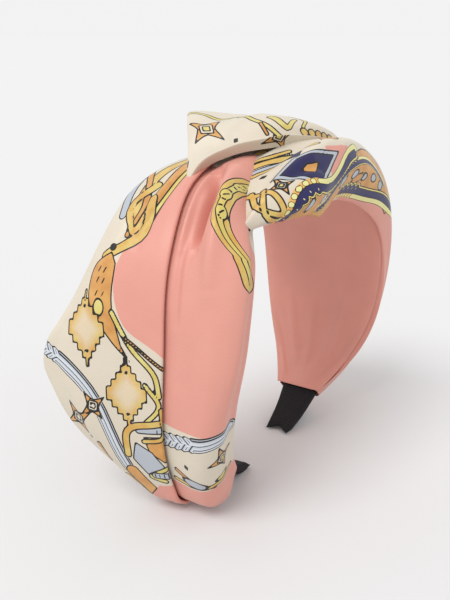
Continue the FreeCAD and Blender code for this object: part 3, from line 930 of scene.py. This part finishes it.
storePrint(bandPiece, bandRanks, cloth)
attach(bandPiece, "crown")
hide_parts("knot_over_wrap")
print("stage: cream band", len(bandPiece.data.vertices))

# Linings, which follow the covers' own seams and drop to clear the tip wraps
linings = {"cell": 1.1, "overlap": 0.7, "height": -1.9, "drop": 2.3, "dropBegins": 144.0, "dropEnds": 158.0,
           "end": 161.0, "spacing": 10.0,
           "crownFront": [(-34, -6), (-11, -9), (13, -8), (33, -4)]}


def legLining(side, cover):
    rows = []
    for reach in evenly(28, linings["end"], linings["spacing"]):
        share = np.clip((reach - linings["dropBegins"]) / (linings["dropEnds"] - linings["dropBegins"]), 0, 1)
        low = linings["height"] - linings["drop"] * share * share * (3 - 2 * share)
        rows.append((side * reach, course(cover["seamFront"], reach) - linings["overlap"],
                course(cover["seamBack"], reach) + linings["overlap"], low, low))
    return rows


def middleLining():
    return [(s, course(rightCover["low"], s) + 1, course(rightCover["seamBack"], s) + 3,
             course(linings["crownFront"], s), -2.6)
            for s in evenly(-34, 33, 11)]


def liningSheet(name, stations, waves):
    shares = (-1.0, -0.93, -0.6, -0.2, 0.2, 0.6, 0.93, 1.0)
    rows = [[(s, 0.5 * (front + back) + 0.5 * (back - front) * share,
              0.5 * (dFront * (1 - share) + dBack * (1 + share)) + (0.5 if abs(share) == 1 else 0.0))
              for share in shares]
            for s, front, back, dFront, dBack in stations]
    grid, *_ = fineGrid(rows, linings["cell"])
    for line, width, depth in waves:
        pressFold(grid, line, width, depth)
    flat = flatCoordinates(grid, 0, 0, slice(2, -2))
    piece, _ = clothSheet(name, grid, flat, pinkLining)
    return piece


leftLining = liningSheet("leftLining", legLining(-1, leftCover), [])
rightLining = liningSheet("rightLining", legLining(1, rightCover), [
    ([(60, 5), (75, 8), (95, 6)], 7.0, -0.8), ([(104, -16), (128, -11), (156, -3)], 2.2, -1.6),
    ([(112, 2), (134, 1), (156, 0.5)], 2.0, -1.0),
    ([(110, 16), (132, 11), (156, 3)], 2.2, -1.2), ([(120, -24), (140, -16), (157, -6)], 1.6, 1.0),
    ([(120, 24), (140, 15), (157, 6)], 1.6, 1.0),
    ([(66, -20), (90, -24), (112, -24)], 5.0, 0.6)])
crownLining = liningSheet("crownLining", middleLining(), [([(-24, 0), (0, 4), (26, 2)], 5.0, 0.8)])
archPlace((-29, 0, 0))
archPlace((-44, 0, 0))
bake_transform(leftLining)
archPlace((29, 0, 0))
archPlace((44, 0, 0))
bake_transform(rightLining)
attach(crownLining, "crown")
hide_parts("left_lining")
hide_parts("right_lining")
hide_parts("crown_lining")
print("stage: linings")

# Black ribbed ribbon wound on each tip, its end cut to a swallow tail
tipWrap = {"start": 157.6, "end": 189.2, "thickness": 4.4, "wide": 10.0, "narrow": 5.8, "notch": 3.4,
           "cell": 0.6, "grain": 500.0, "ribs": 72.0, "waver": 0.4, "ribStrength": 0.6, "ribDepth": 0.00015,
           "roughness": 0.7, "specular": 0.2, "steps": 0.05, "pitch": 7.0}


def ribbonMaterial():
    material, nodes, links, surface = newMaterial("ribbedRibbon")
    flat, grain = flatAndGrain(nodes, links, tipWrap["grain"])
    ribs = nodes.new("ShaderNodeTexWave")
    ribs.bands_direction = "Y"
    setInputs(ribs, {"Scale": tipWrap["ribs"], "Distortion": tipWrap["waver"]})
    links.new(flat, ribs.inputs["Vector"])
    # painted shade: the ribbon's tone follows the same wave as its rib bump, darker in the hollows between
    # the ribs and lighter on their crests
    tone = mixed(nodes, links, ribs.outputs["Fac"], (0.008, 0.007, 0.008), (0.022, 0.020, 0.022))
    links.new(mixed(nodes, links, 1.0, tone, grain["Tint"], "MULTIPLY"), surface.inputs["Base Color"])
    bumped(nodes, links, surface, ribs.outputs["Fac"], tipWrap["ribStrength"], tipWrap["ribDepth"])
    setInputs(surface, {"Roughness": tipWrap["roughness"], "Specular IOR Level": tipWrap["specular"]})
    return material


ribbedRibbon = ribbonMaterial()


def windRibbon(name, side, body, node):
    rows = []
    for share in np.linspace(0, 1, 13):
        s = tipWrap["start"] + share * (tipWrap["end"] - tipWrap["start"])
        wide = tipWrap["wide"] + (tipWrap["narrow"] - tipWrap["wide"]) * share
        thick = tipWrap["thickness"] / 2
        if share > 0.8:
            thick *= max(0.12, 1 - ((share - 0.8) / 0.2) ** 2 * 0.88)
        half = [(0, -1), (0.55, -1), (0.88, -0.92), (1, 0), (0.88, 0.92), (0.55, 1), (0, 1)]
        around = half + [(-y, d) for y, d in half[-2::-1]]
        cut = max(0.0, share - 0.75) / 0.25
        notch = tipWrap["notch"] * cut
        rows.append([(side * (s - notch * (1 - abs(y))), y * wide, d * thick) for y, d in around])
    grid, *_ = fineGrid(rows, tipWrap["cell"])
    along = np.abs(grid[..., 0]) - tipWrap["start"]
    # the windings lie over each other as shallow slanting steps
    slant = (along + 0.25 * grid[..., 1]) / tipWrap["pitch"]
    grid[..., 2] *= 1 + tipWrap["steps"] * np.abs(np.sin(np.pi * slant))
    if side > 0:
        grid = grid[:, ::-1]
    flat = flatCoordinates(grid, 0, 0, slice(0, 4))
    piece, _ = clothSheet(name, grid, flat, ribbedRibbon, 0)
    work = bmesh.new()
    work.from_mesh(piece.data)
    bmesh.ops.remove_doubles(work, verts=work.verts, dist=0.00002)
    work.to_mesh(piece.data)
    work.free()
    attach(piece, body)
    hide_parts(node)
    return piece


windRibbon("leftTipWrap", -1, "left_leg", "left_tip_wrap")
windRibbon("rightTipWrap", 1, "right_leg", "right_tip_wrap")
print("stage: tip wraps")

# Gathering threads: a few turns wound snug on each neck, under the cover's end
thread = {"start": 156.4, "pitch": 0.75, "turns": 4, "width": 9.3, "low": -3.1, "high": 2.6,
        "radius": 0.0003, "steps": 40}


def windThread(name, side, body, node):
    curve = bpy.data.curves.new(name, "CURVE")
    curve.dimensions = "3D"
    curve.bevel_depth = thread["radius"]
    curve.bevel_resolution = 3
    count = thread["turns"] * thread["steps"]
    middle = (thread["high"] + thread["low"]) / 2
    half = (thread["high"] - thread["low"]) / 2
    route = []
    for i in range(count + 1):
        s = side * (thread["start"] + thread["pitch"] * i / thread["steps"])
        angle = tau * i / thread["steps"]
        route.append(archPlace((s, thread["width"] * cos(angle), middle + half * sin(angle))))
    strand = curve.splines.new("POLY")
    strand.points.add(len(route) - 1)
    for point, place in zip(strand.points, route):
        point.co = (*place, 1)
    curve.materials.append(sewingThread)
    piece = newObject(name, curve)
    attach(piece, body)
    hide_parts(node)


windThread("leftGatherThread", -1, "left_leg", "left_gather_thread")
windThread("rightGatherThread", 1, "right_leg", "right_gather_thread")
print("stage: gathering threads")

# Each sheet's flat size, width by length, in metres
for piece, size, held, under in (
        (leftPiece, (0.165, 0.175), "gathered", ["hoop_left_leg"]),
        (rightPiece, (0.120, 0.190), "gathered", ["hoop_right_leg"]),
        (bandPiece, (0.060, 0.115), "gathered", ["hoop_crown"]),
        (leftLining, (0.042, 0.136), "stretched", ["hoop_left_leg"]),
        (rightLining, (0.062, 0.136), "stretched", ["hoop_right_leg"]),
        (crownLining, (0.045, 0.064), "stretched", ["hoop_crown"])):
    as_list(under)

# Floor, light and camera
studio = {"floor": 30.0, "sky": 0.89, "sun": 1.5, "sunSoftness": 30.0, "floorTone": 0.70}
work = bmesh.new()
bmesh.ops.create_grid(work, x_segments=12, y_segments=12, size=studio["floor"])
floorMesh = bpy.data.meshes.new("paleFloor")
work.to_mesh(floorMesh)
work.free()
floor = newObject("paleFloor", floorMesh)
floorPaper = plainMaterial("floorPaper", (studio["floorTone"],) * 3, 0.9, 3.0, 0.00001, 0.0, 0.0, (1.0, 1.0))
floorMesh.materials.append(floorPaper)
world = bpy.data.worlds.new("studioSky")
bpy.context.scene.world = world
world.use_nodes = True
sky = world.node_tree.nodes["Background"]
setInputs(sky, {"Color": (1.0, 1.0, 1.0, 1), "Strength": studio["sky"]})

sunLight = bpy.data.lights.new("softSun", "SUN")
sunLight.energy = studio["sun"]
sunLight.angle = radians(studio["sunSoftness"])
sun = newObject("softSun", sunLight)
sun.rotation_euler = (Vector((0, 0, 0)) - Vector((-0.6, 0.1, 0.85))).to_track_quat("-Z", "Y").to_euler()

view = {"turn": -57.3, "raise": 19.5, "distance": 345.0, "side": -16.35, "height": 76.2, "lens": 45.6}
turn, rise = radians(view["turn"]), radians(view["raise"])
backward = Vector((sin(turn) * cos(rise), -cos(turn) * cos(rise), sin(rise)))
sideways = Vector((cos(turn), sin(turn), 0))
camera = newObject("camera", bpy.data.cameras.new("camera"))
aim = Vector((*hoopCentre, view["height"])) + sideways * view["side"]
camera.location = (aim + backward * view["distance"]) / 1000
camera.rotation_euler = backward.to_track_quat("Z", "Y").to_euler()
camera.data.lens = view["lens"]
camera.data.clip_start = 0.01
bpy.context.scene.camera = camera
bpy.context.scene.view_settings.view_transform = "Standard"
print("stage: floor, light and camera")
